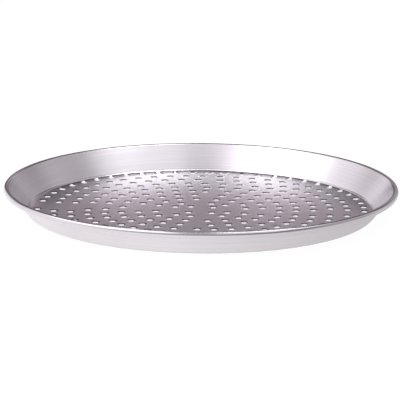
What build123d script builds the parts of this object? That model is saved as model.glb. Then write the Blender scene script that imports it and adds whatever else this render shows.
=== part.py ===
from build123d import *
from math import acos, asin, atan2, cos, degrees, hypot, radians, sin
import os

# A perforated pizza pan, pressed from one disc of aluminium sheet: a flat floor punched with
# curved rows of round holes, a flared wall that grows out of the floor through a small bend,
# and a hollow bead rolled outwards along the top edge. Millimetres, +Z up. The origin is at
# the centre of the underside, on the surface that the pan stands on.

# Sheet and overall sizes
SHEET_THICKNESS = 1.0
RIM_DIAMETER = 366.0
PAN_HEIGHT = 25.4

# Flat part of the floor, and the inside radius of the bend at its edge
FLAT_DIAMETER = 320.0
BEND_INNER_RADIUS = 4.5

# Rolled bead: the bore left inside the curl, and the gap between its cut edge and the wall
CURL_BORE_DIAMETER = 3.7
CURL_GAP = 0.15

# Punched holes: four equal fields of curved rows, each row an arc about its field's middle hole
HOLE_DIAMETER = 5.5
FIELD_OFFSET = 15.4
FIRST_ROW_RADIUS = 14.6
ROW_PITCH = 15.8
SEAM_HOLE_RADIUS = 73.5

# Where each field points, in degrees from +X. The pan was turned by hand between the four
# strokes of the punch, so the fields are not quite a quarter turn apart. One more hole of
# each field lies on the seam to the next, this many degrees on from where the field points.
FIELD_TURNS = (40.5, 127.5, 221.5, 310.5)
SEAM_HOLE_ANGLE = 46.0

# The rows of one field from its middle hole outwards, each with its number of holes, the step
# from hole to hole and the turn of the row's own middle from the field's middle line, both in
# degrees about the middle hole
ROWS = (
    (2, 57.0, 28.0),
    (4, 30.5, -1.5),
    (5, 20.2, -1.0),
    (6, 15.1, -1.0),
    (9, 11.5, -2.5),
    (10, 9.9, -1.0),
    (11, 8.7, 2.5),
    (13, 7.4, 2.0),
    (14, 6.9, 0.0),
)

# Sizes that follow from those above. A punched hole keeps at least half the thickness of the
# sheet between its edge and the bend.
rim_radius = RIM_DIAMETER / 2
flat_radius = FLAT_DIAMETER / 2
hole_radius = HOLE_DIAMETER / 2
hole_limit = flat_radius - hole_radius - SHEET_THICKNESS / 2
bend_outer_radius = BEND_INNER_RADIUS + SHEET_THICKNESS
curl_bore_radius = CURL_BORE_DIAMETER / 2
bead_radius = curl_bore_radius + SHEET_THICKNESS

# The middles of the bend and of the bead in the section, as (distance from the axis, height)
bend_centre = (flat_radius, bend_outer_radius)
bead_centre = (rim_radius - bead_radius, PAN_HEIGHT - bead_radius)

# The inside of the wall is the line that touches the inside of the bend below it and the
# outside of the bead beyond it, so its slope follows from their middles and their radii
centre_run = bead_centre[0] - bend_centre[0]
centre_rise = bead_centre[1] - bend_centre[1]
wall_slope = degrees(
    atan2(centre_rise, centre_run)
    + asin((bead_radius + BEND_INNER_RADIUS) / hypot(centre_run, centre_rise))
)

# The curl starts where the wall touches the bead, and stops just short of the wall's outside
curl_start = wall_slope + 90
curl_sweep = 360 - degrees(acos((curl_bore_radius - CURL_GAP) / bead_radius))


def on_circle(centre, radius, angle):
    """The point of a circle at an angle in degrees from the first axis."""
    return (
        centre[0] + radius * cos(radians(angle)),
        centre[1] + radius * sin(radians(angle)),
    )


def turned(point, angle):
    """A point of the plan, turned about the pan's axis by an angle in degrees."""
    distance = hypot(*point)
    direction = degrees(atan2(point[1], point[0]))
    return on_circle((0, 0), distance, direction + angle)


def field_holes():
    """The hole middles of one field that points along +X."""
    middle_hole = (FIELD_OFFSET, 0)
    holes = [middle_hole, on_circle((0, 0), SEAM_HOLE_RADIUS, SEAM_HOLE_ANGLE)]
    for row, (count, step, row_turn) in enumerate(ROWS):
        row_radius = FIRST_ROW_RADIUS + row * ROW_PITCH
        first = row_turn - step * (count - 1) / 2
        for place in range(count):
            holes.append(on_circle(middle_hole, row_radius, first + step * place))
    return [hole for hole in holes if hypot(*hole) <= hole_limit]


hole_places = [turned(hole, turn) for turn in FIELD_TURNS for hole in field_holes()]

# Perforated floor: the flat disc inside the bend, with all four fields punched through it
with BuildPart() as perforated_floor:
    with BuildSketch(Plane.XY) as floor_plan:
        Circle(flat_radius)
        with Locations(*hole_places):
            Circle(hole_radius, mode=Mode.SUBTRACT)
    extrude(amount=SHEET_THICKNESS)
perforated_floor.part.label = "perforated_floor"

# Flared wall: the bend out of the floor and the straight cone above it, up to the bead
with BuildPart() as flared_wall:
    with BuildSketch(Plane.XZ) as wall_section:
        with BuildLine() as wall_outline:
            bend_outside = CenterArc(bend_centre, bend_outer_radius, -90, wall_slope)
            bend_inside = CenterArc(bend_centre, BEND_INNER_RADIUS, -90, wall_slope)
            top_outside = on_circle(bead_centre, curl_bore_radius, curl_start)
            top_inside = on_circle(bead_centre, bead_radius, curl_start)
            Line(bend_outside @ 1, top_outside)
            Line(top_outside, top_inside)
            Line(top_inside, bend_inside @ 1)
            Line(bend_inside @ 0, bend_outside @ 0)
        make_face()
    revolve(axis=Axis.Z)
flared_wall.part.label = "flared_wall"

# Rolled rim: the sheet curls outwards over the top and back under, until its cut edge nearly
# meets the outside of the wall, which leaves a hollow bead with one fine seam below
with BuildPart() as rolled_rim:
    with BuildSketch(Plane.XZ) as curl_section:
        with BuildLine() as curl_outline:
            curl_outside = CenterArc(bead_centre, bead_radius, curl_start, -curl_sweep)
            curl_inside = CenterArc(bead_centre, curl_bore_radius, curl_start, -curl_sweep)
            Line(curl_outside @ 0, curl_inside @ 0)
            Line(curl_outside @ 1, curl_inside @ 1)
        make_face()
    revolve(axis=Axis.Z)
rolled_rim.part.label = "rolled_rim"

os.makedirs("parts", exist_ok=True)
export_step(perforated_floor.part, "parts/perforated_floor.step")
export_step(flared_wall.part, "parts/flared_wall.step")
export_step(rolled_rim.part, "parts/rolled_rim.step")

print("wall slope from the horizontal", round(wall_slope, 1), "degrees")
print("bead diameter", round(2 * bead_radius, 2), "mm")
print("mouth inside the bead", round(2 * top_inside[0], 1), "mm")
print("holes in the floor", len(hole_places))
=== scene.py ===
# %% [markdown]
# # A perforated pizza pan
# The pan is one disc of aluminium sheet. A punch went through it in four fields of curved rows,
# a press left a flat floor and raised a flared wall around it, and a roller curled the top edge
# outwards into a hollow bead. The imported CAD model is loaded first, as a fixed frame: the sizes
# below are read off it or are set against it, in metres, with +Z up and the origin in the middle
# of the underside. The CAD nodes themselves are never moved. Each dressed piece is new, and says
# which nodes it replaces.

# %% Load the frame
from math import acos, asin, atan2, ceil, cos, degrees, pi, radians, sin, tan

import bmesh
import bpy
from mathutils import Matrix, Vector


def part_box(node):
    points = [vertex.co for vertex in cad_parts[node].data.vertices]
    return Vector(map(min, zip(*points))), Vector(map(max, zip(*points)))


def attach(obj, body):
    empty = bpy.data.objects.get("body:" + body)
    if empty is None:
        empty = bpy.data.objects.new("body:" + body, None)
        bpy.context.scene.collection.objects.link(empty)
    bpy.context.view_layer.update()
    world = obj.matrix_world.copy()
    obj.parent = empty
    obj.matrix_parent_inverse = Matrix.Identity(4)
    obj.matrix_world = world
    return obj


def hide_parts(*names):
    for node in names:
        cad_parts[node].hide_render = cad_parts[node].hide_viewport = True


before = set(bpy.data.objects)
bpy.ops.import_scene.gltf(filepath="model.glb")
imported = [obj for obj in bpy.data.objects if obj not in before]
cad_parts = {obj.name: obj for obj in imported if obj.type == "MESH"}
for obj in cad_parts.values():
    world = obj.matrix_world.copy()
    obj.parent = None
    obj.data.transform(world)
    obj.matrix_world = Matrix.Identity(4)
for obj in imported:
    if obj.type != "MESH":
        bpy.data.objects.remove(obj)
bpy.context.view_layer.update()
scene = bpy.context.scene
MM = 0.001
print("frame:", sorted(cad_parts))

# %% [markdown]
# ## Sizes that the frame already holds
# The floor node gives the thickness of the sheet and the radius of the disc that carries the
# holes, and the rim node gives the bead: it is as high as the bead is thick. Typing these numbers
# again would be quicker, but then the dressed pan would come off its solids as soon as somebody
# changed one of them.

# %% Sizes from the frame
floor_low, floor_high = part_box("perforated_floor")
rim_low, rim_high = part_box("rolled_rim")
sheet = floor_high.z - floor_low.z
disc_radius = floor_high.x
bead_radius = (rim_high.z - rim_low.z) / 2
bead_centre = Vector((rim_high.x - bead_radius, rim_high.z - bead_radius))
print("sheet", round(sheet / MM, 2), "disc radius", round(disc_radius / MM, 1),
      "bead radius", round(bead_radius / MM, 2), "mm")

# %% [markdown]
# ## Where the holes are
# The holes could be placed again by the rule that the CAD source uses, but the two would have to
# be kept alike by hand. They are in the frame already: a copy of the floor's mesh is welded and
# its flat faces are deleted, which leaves one ring of upright wall for each hole, and a large
# ring for the outer edge. The middle of each small ring is the middle of a hole.

# %% Read the hole middles
WELD = 0.001 * MM
UPRIGHT = 0.5


def wall_rings(node):
    """The rings of upright wall in a flat node, as lists of vertex places."""
    copy = bmesh.new()
    copy.from_mesh(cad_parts[node].data)
    bmesh.ops.remove_doubles(copy, verts=copy.verts, dist=WELD)
    flats = [face for face in copy.faces if abs(face.normal.z) > UPRIGHT]
    bmesh.ops.delete(copy, geom=flats, context="FACES")
    rings = []
    seen = set()
    for first in copy.verts:
        if first in seen:
            continue
        ring = [first]
        seen.add(first)
        for vert in ring:
            others = [edge.other_vert(vert) for edge in vert.link_edges]
            near = [other for other in others if other not in seen]
            seen.update(near)
            ring.extend(near)
        rings.append([vert.co.copy() for vert in ring])
    copy.free()
    return rings


def middle(points):
    """The middle of a ring, on the plane of the underside."""
    total = sum(points, Vector())
    return Vector((total.x, total.y, 0)) / len(points)


rings = sorted(wall_rings("perforated_floor"), key=lambda ring: (ring[0] - middle(ring)).xy.length)
hole_rings = rings[:-1]
hole_radius = (hole_rings[0][0] - middle(hole_rings[0])).xy.length
hole_middles = sorted((middle(ring) for ring in hole_rings), key=lambda place: (place.y, place.x))
print("holes", len(hole_middles), "radius", round(hole_radius / MM, 2), "mm, the outermost at",
      round(max(place.length for place in hole_middles) / MM, 1), "mm")

# %% [markdown]
# ## Helpers for the meshes
# Everything round on the pan is a turned shape, so one helper does what a lathe does: it lays a
# chain of points in a bmesh as a section and spins it. A curve object with a screw modifier
# would do as well, but a bmesh keeps the section as plain points that the next cells can work
# out. A full turn is given `use_merge`, so that its last copy is welded to its first.

# %% Helpers
ROUND = 2 * pi
AXIS = Vector((0, 0, 1))


def arc(centre, radius, start, end, step):
    """Points of an arc in the section, (distance from the axis, height), both ends included."""
    count = max(1, ceil(abs(end - start) / step))
    turns = [start + (end - start) * place / count for place in range(count + 1)]
    return [centre + radius * Vector((cos(turn), sin(turn))) for turn in turns]


def spin_section(bm, section, steps, closed=False):
    """Spins a section once about the upright axis."""
    verts = [bm.verts.new((point.x, 0, point.y)) for point in section]
    edges = [bm.edges.new(pair) for pair in zip(verts, verts[1:])]
    if closed:
        edges.append(bm.edges.new((verts[-1], verts[0])))
    bmesh.ops.spin(bm, geom=verts + edges, cent=Vector(), axis=AXIS, angle=ROUND, steps=steps,
                   use_merge=True)


def finish_piece(name, bm, *materials):
    """Turns a bmesh into an object of its own, with its normals outwards."""
    bmesh.ops.remove_doubles(bm, verts=bm.verts, dist=WELD)
    bmesh.ops.recalc_face_normals(bm, faces=bm.faces)
    mesh = bpy.data.meshes.new(name)
    bm.to_mesh(mesh)
    bm.free()
    for material in materials:
        mesh.materials.append(material)
    piece = bpy.data.objects.new(name, mesh)
    scene.collection.objects.link(piece)
    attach(piece, "root")
    mesh.calc_loop_triangles()
    print(name, len(mesh.loop_triangles), "triangles")
    return piece


print("a quarter turn in steps of 10 degrees:",
      len(arc(Vector((0, 0)), 1.0, 0, pi / 2, radians(10))), "points")

# %% [markdown]
# ## Helpers for the materials
# A material is a tree of nodes. In the editor each node is dropped in and its values are typed.
# Here `node_of` does both in one line, and `metal_of` makes the plain bare metal that every
# finish on the pan starts from. A bare metal has no colour beneath its surface: its colour tints
# what it mirrors, and its roughness says how blurred that is. Values that are the same all over
# are set on the shader's own sockets, because that is where an export looks for them.

# %% Material helpers


def node_of(tree, kind, **settings):
    """A new node with some of its settings and input values."""
    node = tree.nodes.new(kind)
    for key, value in settings.items():
        if key in node.inputs:
            node.inputs[key].default_value = value
        else:
            setattr(node, key, value)
    return node


def metal_of(name, colour, roughness):
    """A plain bare metal, with its shader, for the finishes below."""
    material = bpy.data.materials.new(name)
    material.use_nodes = True
    shader = material.node_tree.nodes["Principled BSDF"]
    shader.inputs["Metallic"].default_value = 1.0
    shader.inputs["Base Color"].default_value = colour
    shader.inputs["Roughness"].default_value = roughness
    print("metal", name, "roughness", roughness)
    return material, shader


# %% [markdown]
# ## Spun aluminium
# The disc turned against a polishing tool, which left fine rings around its middle. They do two
# things. They stretch every reflection across the rings, which Anisotropic does once a Tangent
# node tells the shader which way is round. And up close they show as faint lines, which a noise
# does that hardly changes on the way round but changes fast outwards and upwards: it reads the
# distance from the axis plus the height, so the same lines climb the wall. Everything comes from
# Object coordinates, so nothing slides when the view moves.

# %% The spun finish
LINES_PER_METRE = 900.0
LINE_RELIEF = 0.1 * MM
PATCHES_ROUND = 1.5
QUARTER_TURN = 0.25
TINT_START, TINT_END = 0.35, 0.65


def turned_lines(tree):
    """A noise drawn out round the axis, and the distance from the axis that it reads."""
    link = tree.links.new
    place = node_of(tree, "ShaderNodeTexCoord")
    split = node_of(tree, "ShaderNodeSeparateXYZ")
    link(place.outputs["Object"], split.inputs[0])
    level = node_of(tree, "ShaderNodeCombineXYZ")
    link(split.outputs["X"], level.inputs["X"])
    link(split.outputs["Y"], level.inputs["Y"])
    reach = node_of(tree, "ShaderNodeVectorMath", operation="LENGTH")
    link(level.outputs[0], reach.inputs[0])
    along = node_of(tree, "ShaderNodeMath", operation="ADD")
    link(reach.outputs["Value"], along.inputs[0])
    link(split.outputs["Z"], along.inputs[1])
    lift = node_of(tree, "ShaderNodeCombineXYZ")
    link(along.outputs[0], lift.inputs["Z"])
    fine = node_of(tree, "ShaderNodeVectorMath", operation="SCALE", Scale=LINES_PER_METRE)
    link(lift.outputs[0], fine.inputs[0])
    way = node_of(tree, "ShaderNodeVectorMath", operation="NORMALIZE")
    link(level.outputs[0], way.inputs[0])
    line_place = node_of(tree, "ShaderNodeVectorMath", operation="MULTIPLY_ADD")
    link(way.outputs[0], line_place.inputs[0])
    line_place.inputs[1].default_value = (PATCHES_ROUND, PATCHES_ROUND, 0)
    link(fine.outputs[0], line_place.inputs[2])
    lines = node_of(tree, "ShaderNodeTexNoise", noise_dimensions="3D", Scale=1.0, Detail=4.0,
                    Roughness=0.65)
    link(line_place.outputs[0], lines.inputs["Vector"])
    return lines, reach


def spun_metal(name, roughness, stretch, line_strength, dark, pale):
    """Aluminium with turned lines, whose reflections are stretched across them."""
    material, shader = metal_of(name, pale, roughness)
    shader.inputs["Anisotropic"].default_value = stretch
    shader.inputs["Anisotropic Rotation"].default_value = QUARTER_TURN
    tree = material.node_tree
    link = tree.links.new
    lines, reach = turned_lines(tree)
    bump = node_of(tree, "ShaderNodeBump", Strength=line_strength, Distance=LINE_RELIEF)
    link(lines.outputs["Fac"], bump.inputs["Height"])
    link(bump.outputs["Normal"], shader.inputs["Normal"])
    tint = node_of(tree, "ShaderNodeValToRGB")
    first, last = tint.color_ramp.elements
    first.position, first.color = TINT_START, dark
    last.position, last.color = TINT_END, pale
    link(lines.outputs["Fac"], tint.inputs["Fac"])
    link(tint.outputs["Color"], shader.inputs["Base Color"])
    round_way = node_of(tree, "ShaderNodeTangent", direction_type="RADIAL", axis="Z")
    link(round_way.outputs["Tangent"], shader.inputs["Tangent"])
    return material, shader, reach


print("turned lines", LINES_PER_METRE, "to the metre, relief", round(LINE_RELIEF / MM, 2), "mm")

# %% [markdown]
# ## Four finishes of one metal
# The wall keeps the clearest turned lines. The floor has been handled and washed more, so it is a
# little rougher and less stretched. Where the press bent the sheet and the roller curled it,
# steel slid over it and left it smooth: that is a plain metal without lines. The sheared metal
# round each hole is the fourth. They could be four images, but a procedural finish has no seams
# and bakes at any size.

# %% The four metals
BURNISHED = 0.16

spun_wall, _, _ = spun_metal("spun_wall", roughness=0.28, stretch=0.55, line_strength=0.13,
                             dark=(0.76, 0.745, 0.775, 1), pale=(0.85, 0.84, 0.855, 1))
spun_floor, floor_shader, floor_reach = spun_metal(
    "spun_floor", roughness=0.30, stretch=0.35, line_strength=0.12,
    dark=(0.77, 0.755, 0.785, 1), pale=(0.83, 0.82, 0.835, 1))
rolled_metal, _ = metal_of("rolled_aluminium", colour=(0.74, 0.73, 0.75, 1), roughness=BURNISHED)
sheared_metal, _ = metal_of("sheared_edge", colour=(0.80, 0.785, 0.81, 1), roughness=0.12)

# %% [markdown]
# ## The bend between floor and wall
# In the photograph the outermost holes sit on the start of the bend: the sheet was punched flat
# and pressed afterwards. The solids keep a tight bend outside the disc that carries the holes,
# so here the bend starts 4 mm further in and is rounder, and stays inside the solids' reach. The
# disc can then be punched flat, as in the factory, and its edge is pressed up last. One function
# does the pressing for a point: beyond the start of the bend, the distance from the axis is
# wound on to an arc about the bend's centre. The wall leaves the arc and meets the bead along
# the line that touches both, and that gives its slope.

# %% The bend
BEND_RADIUS = 7.0 * MM
DRAWN_IN = 4.0 * MM
SEAM_MARGIN = 0.02 * MM

bend_centre = Vector((disc_radius - DRAWN_IN, sheet + BEND_RADIUS))
edge_radius = disc_radius - SEAM_MARGIN
edge_turn = (edge_radius - bend_centre.x) / BEND_RADIUS
run = bead_centre - bend_centre
slope = atan2(run.y, run.x) + asin((bead_radius + BEND_RADIUS) / run.length)


def pressed_up(point):
    """Where a point of the flat punched disc ends up once the press has raised its edge."""
    reach = point.xy.length
    turn = (reach - bend_centre.x) / BEND_RADIUS
    if turn <= 0:
        return point
    arm = bend_centre.y - point.z
    across = (bend_centre.x + arm * sin(turn)) / reach
    return Vector((point.x * across, point.y * across, bend_centre.y - arm * cos(turn)))


print("wall slope", round(degrees(slope), 1), "degrees, the disc's edge is turned up by",
      round(degrees(edge_turn), 1))

# %% [markdown]
# ## The flared side
# The rest of the bend, the wall and the curled bead are one turned shape: the inside of the sheet
# from the bend up over the bead and into its curl, and back along the outside. A closed section
# spun once gives the sheet its real thickness, with no need for a Solidify modifier. The curl
# stops just short of the wall and leaves the thin dark gap that a rolled edge has. The faces of
# the bead and of the bend get the smooth rolled metal.

# %% Flared side
ROUND_STEPS = 360
BEND_STEP = radians(6)
CURL_STEP = radians(10)
CURL_GAP = 0.15 * MM
BEAD_ALLOWANCE = 0.05 * MM
ROLLED_SLOT = 1

bore_radius = bead_radius - sheet
wall_side = slope + pi / 2
curl_end = wall_side - (ROUND - acos((bore_radius - CURL_GAP) / bead_radius))
bend_turns = (edge_turn - pi / 2, slope - pi / 2, BEND_STEP)
inside = arc(bend_centre, BEND_RADIUS, *bend_turns)
inside += arc(bead_centre, bead_radius, wall_side, curl_end, CURL_STEP)
outside = arc(bend_centre, BEND_RADIUS + sheet, *bend_turns)
outside += arc(bead_centre, bore_radius, wall_side, curl_end, CURL_STEP)

side = bmesh.new()
spin_section(side, inside + outside[::-1], ROUND_STEPS, closed=True)
bend_end = bend_centre.x + (BEND_RADIUS + sheet) * sin(slope)
for face in side.faces:
    face.smooth = True
    face_middle = face.calc_center_median()
    place = Vector((face_middle.xy.length, face_middle.z))
    in_bead = (place - bead_centre).length < bead_radius + BEAD_ALLOWANCE
    if in_bead or place.x < bend_end:
        face.material_index = ROLLED_SLOT
flared_side = finish_piece("flared_side", side, spun_wall, rolled_metal)
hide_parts("flared_wall", "rolled_rim")

# %% [markdown]
# ## One hole
# A punch rounds the sheet's edge over and drags a shallow dish around the hole. Seen at a low
# angle, the far side of the dish leans towards the camera, mirrors what is dark high at the rear
# and draws the dark arc that lies above each hole. The bright crescent below it is the white
# table, seen through the hole and mirrored in its wall. A boolean cut would give a sharp edge
# and no dish, so a small collar is turned instead: the wall of the hole, its rounded edge and
# the dish, with few steps, because it is repeated for every hole.

# %% One hole
HOLE_STEPS = 16
EDGE_RADIUS = 0.2 * MM
EDGE_STEP = radians(30)
DISH_SLOPE = radians(14)
DISH_WIDTH = 1.6 * MM
NARROW_DISH_WIDTH = 0.65 * MM
SHEET_SLOT, SHEARED_SLOT = 0, 1


def hole_collar(dish_width):
    """The wall of one hole with its rounded edge and shallow dish, about the origin."""
    depth = dish_width * tan(DISH_SLOPE)
    edge_middle = Vector((hole_radius + EDGE_RADIUS,
                          sheet - depth - EDGE_RADIUS * cos(DISH_SLOPE)))
    lip = [Vector((hole_radius, 0))]
    lip += arc(edge_middle, EDGE_RADIUS, pi, pi / 2 + DISH_SLOPE, EDGE_STEP)
    lip.append(Vector((lip[-1].x + dish_width, sheet)))
    collar = bmesh.new()
    spin_section(collar, lip, HOLE_STEPS)
    for face in collar.faces:
        face.smooth = True
        face.material_index = SHEARED_SLOT
    mesh = bpy.data.meshes.new("collar")
    collar.to_mesh(mesh)
    collar.free()
    return mesh


wide_collar = hole_collar(DISH_WIDTH)
narrow_collar = hole_collar(NARROW_DISH_WIDTH)
print("faces round one hole", len(wide_collar.polygons))

# %% [markdown]
# ## The punched disc, flat
# A collar is copied to every hole, two circles make the edge of the disc, and `triangle_fill`
# closes the sheet between them, once on the underside and once on top. It fills whatever lies
# inside a set of closed loops and leaves the small loops open, which is just what a punched
# plate is. `bridge_loops` makes the narrow edge between the two circles.

# %% The punched disc
disc = bmesh.new()
for place in hole_middles:
    before = len(disc.verts)
    room = edge_radius - place.length - hole_radius
    disc.from_mesh(wide_collar if room > DISH_WIDTH + EDGE_RADIUS else narrow_collar)
    disc.verts.ensure_lookup_table()
    bmesh.ops.translate(disc, verts=disc.verts[before:], vec=place)
for collar in (wide_collar, narrow_collar):
    bpy.data.meshes.remove(collar)
outer_edges = []
for height in (0, sheet):
    made = bmesh.ops.create_circle(disc, cap_ends=False, segments=ROUND_STEPS,
                                   radius=edge_radius,
                                   matrix=Matrix.Translation((0, 0, height)))
    outer_edges += dict.fromkeys(edge for vert in made["verts"] for edge in vert.link_edges)
for height in (0, sheet):
    level = [edge for edge in disc.edges
             if len(edge.link_faces) < 2
             and all(abs(vert.co.z - height) < WELD for vert in edge.verts)]
    bmesh.ops.triangle_fill(disc, use_beauty=True, use_dissolve=False, edges=level, normal=AXIS)
bmesh.ops.bridge_loops(disc, edges=outer_edges)
print("faces of the flat disc", len(disc.faces))

# %% [markdown]
# ## Pressed up
# Now the disc is pressed: every vertex beyond the start of the bend winds on to the arc. The fill
# runs straight from the holes to the edge there, so its faces are too large to look round. More
# rings of vertices would cross the holes. The shading is given the true direction of the bent
# sheet instead, as custom normals, and the collars keep the smooth ones that they already had.
# The bend of this piece is burnished as well, so the floor's roughness falls where it starts.

# %% Pressed up
BURNISH_START = 0.4 * MM
BURNISH_WIDTH = 0.4 * MM


def sheet_normal(point):
    """The way up from the sheet at a point: straight up on the floor, leaning in on the bend."""
    turn = max(0.0, atan2(point.xy.length - bend_centre.x, bend_centre.y - point.z))
    inwards = -point.xy.normalized() * sin(turn)
    return Vector((inwards.x, inwards.y, cos(turn)))


for vert in disc.verts:
    vert.co = pressed_up(vert.co)
punched_floor = finish_piece("punched_floor", disc, spun_floor, sheared_metal)
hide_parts("perforated_floor")
floor_mesh = punched_floor.data
corner_normals = [corner.vector.copy() for corner in floor_mesh.corner_normals]
for face in floor_mesh.polygons:
    if face.material_index == SHEET_SLOT and abs(face.normal.z) > UPRIGHT:
        facing = 1 if face.normal.z > 0 else -1
        for corner in face.loop_indices:
            point = floor_mesh.vertices[floor_mesh.loops[corner].vertex_index].co
            corner_normals[corner] = sheet_normal(point) * facing
    face.use_smooth = True
floor_mesh.normals_split_custom_set(corner_normals)

rub_start = bend_centre.x + BURNISH_START
rubbed = node_of(spun_floor.node_tree, "ShaderNodeMapRange",
                 **{"From Min": rub_start, "From Max": rub_start + BURNISH_WIDTH,
                    "To Min": floor_shader.inputs["Roughness"].default_value,
                    "To Max": BURNISHED})
spun_floor.node_tree.links.new(floor_reach.outputs["Value"], rubbed.inputs["Value"])
spun_floor.node_tree.links.new(rubbed.outputs[0], floor_shader.inputs["Roughness"])
print("the disc's edge is raised to", round(max(vert.co.z for vert in floor_mesh.vertices) / MM, 2),
      "mm")

# %% [markdown]
# ## A white table
# The pan stands on white, and shows it: the outside of the wall mirrors the table. A wide grid of
# one face is enough, a hair below the underside so that the two never fight for the same place.
# It is left out of the pan's body, because it isn't part of the pan.

# %% Table
TABLE_HALF = 8.0
TABLE_DROP = 0.1 * MM

table_bm = bmesh.new()
bmesh.ops.create_grid(table_bm, x_segments=1, y_segments=1, size=TABLE_HALF)
bmesh.ops.translate(table_bm, verts=table_bm.verts, vec=(0, 0, -TABLE_DROP))
table_mesh = bpy.data.meshes.new("table")
table_bm.to_mesh(table_mesh)
table_bm.free()
table = bpy.data.objects.new("table", table_mesh)
scene.collection.objects.link(table)
print("table", 2 * TABLE_HALF, "m wide")

# %% [markdown]
# ## White without glare
# A white floor under ordinary lamps never comes out quite white, and lamps strong enough to make
# it so would wash out the metal. So the table is grey paper that takes the pan's shadow, and a
# glow is added to it only for rays that come from the camera, from gloss or from glass. Under
# the pan the table is in the pan's shade, which shows through the holes, so the glow is weaker
# there. Towards the right the gloss sees less of the glow, so the outside of the wall gets
# darker that way, and what the gloss sees is faintly pink. A Mix node has a set of sockets for
# each kind of data under the same names, so its colour sockets are picked by number.

# %% Paper
TABLE_COLOUR = 0.16
SEEN_GLOW, SHADED_GLOW = 0.93, 0.83
SHADE_WIDTH = 6.0 * MM
LEFT_GLOW, RIGHT_GLOW = 0.86, 0.56
FALL_START, FALL_END = -0.03, 0.16
GLOSS_TINT, WHITE = (1.04, 1.0, 1.02, 1), (1, 1, 1, 1)
MIX_FIRST, MIX_SECOND, MIX_RESULT = 6, 7, 2

paper = bpy.data.materials.new("white_table")
paper.use_nodes = True
tree = paper.node_tree
link = tree.links.new
tree.nodes.clear()
diffuse = node_of(tree, "ShaderNodeBsdfDiffuse",
                  Color=(TABLE_COLOUR, TABLE_COLOUR, TABLE_COLOUR, 1))
ray = node_of(tree, "ShaderNodeLightPath")
looked_at = node_of(tree, "ShaderNodeMath", operation="MAXIMUM")
link(ray.outputs["Is Camera Ray"], looked_at.inputs[0])
link(ray.outputs["Is Transmission Ray"], looked_at.inputs[1])
spot = node_of(tree, "ShaderNodeTexCoord")
from_middle = node_of(tree, "ShaderNodeVectorMath", operation="LENGTH")
link(spot.outputs["Object"], from_middle.inputs[0])
shade = node_of(tree, "ShaderNodeMapRange",
                **{"From Min": bend_centre.x - SHADE_WIDTH, "From Max": bend_centre.x,
                   "To Min": SHADED_GLOW, "To Max": SEEN_GLOW})
link(from_middle.outputs["Value"], shade.inputs["Value"])
seen_glow = node_of(tree, "ShaderNodeMath", operation="MULTIPLY")
link(looked_at.outputs[0], seen_glow.inputs[0])
link(shade.outputs[0], seen_glow.inputs[1])
across = node_of(tree, "ShaderNodeSeparateXYZ")
link(spot.outputs["Object"], across.inputs[0])
fall = node_of(tree, "ShaderNodeMapRange",
               **{"From Min": FALL_START, "From Max": FALL_END,
                  "To Min": LEFT_GLOW, "To Max": RIGHT_GLOW})
link(across.outputs["X"], fall.inputs["Value"])
whole_glow = node_of(tree, "ShaderNodeMath", operation="MULTIPLY_ADD")
link(ray.outputs["Is Glossy Ray"], whole_glow.inputs[0])
link(fall.outputs[0], whole_glow.inputs[1])
link(seen_glow.outputs[0], whole_glow.inputs[2])
tint = node_of(tree, "ShaderNodeMix", data_type="RGBA")
link(looked_at.outputs[0], tint.inputs["Factor"])
tint.inputs[MIX_FIRST].default_value = GLOSS_TINT
tint.inputs[MIX_SECOND].default_value = WHITE
glow = node_of(tree, "ShaderNodeEmission")
link(tint.outputs[MIX_RESULT], glow.inputs["Color"])
link(whole_glow.outputs[0], glow.inputs["Strength"])
both = node_of(tree, "ShaderNodeAddShader")
link(diffuse.outputs[0], both.inputs[0])
link(glow.outputs[0], both.inputs[1])
link(both.outputs[0], node_of(tree, "ShaderNodeOutputMaterial").inputs[0])
table_mesh.materials.append(paper)
print("paper", TABLE_COLOUR, "grey, glow", SEEN_GLOW, "in the open,", SHADED_GLOW, "in shade")

# %% [markdown]
# ## The room around the pan
# Bare metal has no look of its own: it is whatever stands around it. At this low angle the floor
# of the pan mirrors the low rear of the room, and its far rim mirrors the rear higher up, so the
# world is drawn as two rings of light. A gradient that runs round the upright axis drives two
# colour ramps, one for near the horizon and one for above it, and the height of the ray blends
# them. The dark stretch at the high rear draws the dark line along the far rim and the dark arc
# above every hole. An image of a studio would do the same, but these few numbers can be read.

# %% The room
ROOM_TINT = (1.0, 0.935, 0.99)
BLEND_START, BLEND_END = 0.25, 0.42
LOW_RING = [(0.0, 1.08), (0.15, 0.55), (0.25, 0.42), (0.40, 0.22), (0.50, 0.45),
            (0.55, 0.42), (0.60, 0.70), (0.64, 0.56), (0.68, 0.42), (0.71, 0.24),
            (0.75, 0.16), (0.785, 0.05), (0.82, 0.95), (0.90, 1.00), (1.0, 1.08)]
HIGH_RING = [(0.0, 1.08), (0.15, 0.55), (0.25, 0.42), (0.40, 0.22), (0.50, 0.45),
             (0.55, 0.42), (0.60, 0.60), (0.64, 0.26), (0.68, 0.08), (0.71, 0.04),
             (0.75, 0.03), (0.79, 0.05), (0.83, 0.20), (0.90, 1.00), (1.0, 1.08)]

world = bpy.data.worlds.new("studio")
scene.world = world
world.use_nodes = True
tree = world.node_tree
link = tree.links.new
direction = node_of(tree, "ShaderNodeTexCoord")
bearing = node_of(tree, "ShaderNodeTexGradient", gradient_type="RADIAL")
link(direction.outputs["Generated"], bearing.inputs["Vector"])


def ring_of_light(levels):
    """A ramp all round the pan: 0 is its left, 0.25 its front, 0.5 its right, 0.75 its rear."""
    ramp = node_of(tree, "ShaderNodeValToRGB")
    ramp.color_ramp.interpolation = "EASE"
    while len(ramp.color_ramp.elements) < len(levels):
        ramp.color_ramp.elements.new(0.5)
    for element, (position, level) in zip(ramp.color_ramp.elements, levels):
        element.position = position
        element.color = [level * part for part in ROOM_TINT] + [1]
    link(bearing.outputs["Fac"], ramp.inputs["Fac"])
    return ramp.outputs["Color"]


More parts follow.
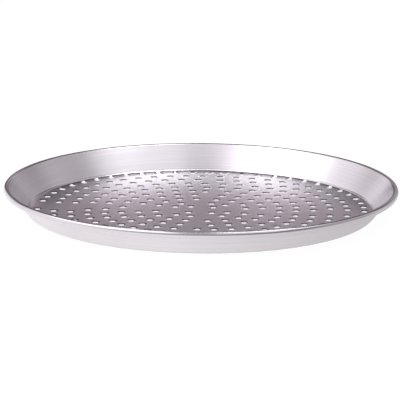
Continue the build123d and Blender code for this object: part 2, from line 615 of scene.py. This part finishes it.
split = node_of(tree, "ShaderNodeSeparateXYZ")
link(direction.outputs["Generated"], split.inputs[0])
height = node_of(tree, "ShaderNodeMapRange", **{"From Min": BLEND_START, "From Max": BLEND_END})
link(split.outputs["Z"], height.inputs["Value"])
blend = node_of(tree, "ShaderNodeMix", data_type="RGBA")
link(height.outputs[0], blend.inputs["Factor"])
link(ring_of_light(LOW_RING), blend.inputs[MIX_FIRST])
link(ring_of_light(HIGH_RING), blend.inputs[MIX_SECOND])
link(blend.outputs[MIX_RESULT], tree.nodes["Background"].inputs["Color"])
print("room: two rings of", len(LOW_RING), "levels")

# %% [markdown]
# ## Softboxes overhead
# The far wall leans towards the camera and mirrors the ceiling. Each softbox is a rectangle up
# there, given by its four sides, and each was placed by following a ray from the camera off the
# wall: a dim gap in the middle, bright boxes on either side. The boxes behind the pan are
# stronger, because the floor sees them second-hand, in the far wall. A lamp's energy is spread
# over its area, so it is multiplied by the area here, and every box is given by how bright it
# looks. A dim strip far behind lifts the floor's own level, and is a little mauve, as the middle
# of the floor is.

# %% Softboxes
CEILING = 0.80
REAR_WIDTH, REAR_HEIGHT, REAR_BRIGHTNESS = 1.8, 1.2, 0.21
REAR_PLACE = (0.3, 3.0, 1.25)
REAR_TINT = (1.14, 0.85, 1.01)
LAMP_GAIN = pi
SOFTBOX_TINT = (0.985, 0.955, 1)
CEILING_BOXES = {
    # name: (left, right, front, back, brightness)
    "left_front_softbox": (-1.07, -0.16, -0.75, 0.12, 0.86),
    "left_side_softbox": (-1.07, -0.51, 0.12, 0.40, 0.93),
    "middle_far_softbox": (-0.16, 0.10, -0.75, -0.13, 0.05),
    "middle_near_softbox": (-0.16, 0.10, -0.13, 0.12, 0.46),
    "right_front_softbox": (0.10, 0.75, -0.75, 0.12, 0.65),
    "right_side_softbox": (0.37, 0.72, 0.12, 0.22, 0.50),
    "left_back_softbox": (-0.345, -0.107, 0.08, 0.45, 2.05),
    "middle_back_softbox": (-0.107, 0.033, 0.12, 0.28, 1.0),
    "right_back_softbox": (0.033, 0.353, 0.08, 0.45, 2.7),
}


def softbox(name, width, depth, brightness, place, colour=SOFTBOX_TINT):
    """A rectangular lamp that faces down, as bright to look at as the given level."""
    lamp = bpy.data.lights.new(name, "AREA")
    lamp.shape = "RECTANGLE"
    lamp.size = width
    lamp.size_y = depth
    lamp.energy = brightness * width * depth * LAMP_GAIN
    lamp.color = colour
    holder = bpy.data.objects.new(name, lamp)
    holder.location = place
    scene.collection.objects.link(holder)
    return holder


for name, (left, right, front, back, brightness) in CEILING_BOXES.items():
    softbox(name, right - left, back - front, brightness,
            ((left + right) / 2, (front + back) / 2, CEILING))
rear_strip = softbox("rear_softbox", REAR_WIDTH, REAR_HEIGHT, REAR_BRIGHTNESS, REAR_PLACE,
                     REAR_TINT)
rear_strip.rotation_euler = (-pi / 2, 0, 0)
print("softboxes", len(CEILING_BOXES) + 1)

# %% [markdown]
# ## The camera
# The photograph was taken from about two metres with a long lens, so that the far rim is hardly
# smaller than the near one. Its height follows from how flat the rim's ellipse is, and the small
# roll from the tilt of that ellipse. A Track To constraint would aim it as well, but a plain
# rotation holds when the other views move the camera. Blender takes a lens and its sensor in
# millimetres, as a photographer does, and all else here in metres.

# %% Camera
CAMERA_DISTANCE = 2.196
CAMERA_ELEVATION = radians(13.82)
CAMERA_ROLL = 0.0092
AIM = Vector((-0.9 * MM, 0, 10.2 * MM))
LENS_LENGTH, SENSOR_WIDTH = 212.2, 36

lens = bpy.data.cameras.new("camera")
lens.lens = LENS_LENGTH
lens.sensor_width = SENSOR_WIDTH
camera = bpy.data.objects.new("camera", lens)
scene.collection.objects.link(camera)
camera.location = Vector((0, -cos(CAMERA_ELEVATION), sin(CAMERA_ELEVATION))) * CAMERA_DISTANCE
turn = (AIM - camera.location).to_track_quat("-Z", "Y").to_matrix().to_4x4()
camera.rotation_euler = (turn @ Matrix.Rotation(CAMERA_ROLL, 4, "Z")).to_euler()
scene.camera = camera
scene.view_settings.view_transform = "Standard"
print("camera", [round(part, 3) for part in camera.location], "lens", LENS_LENGTH)
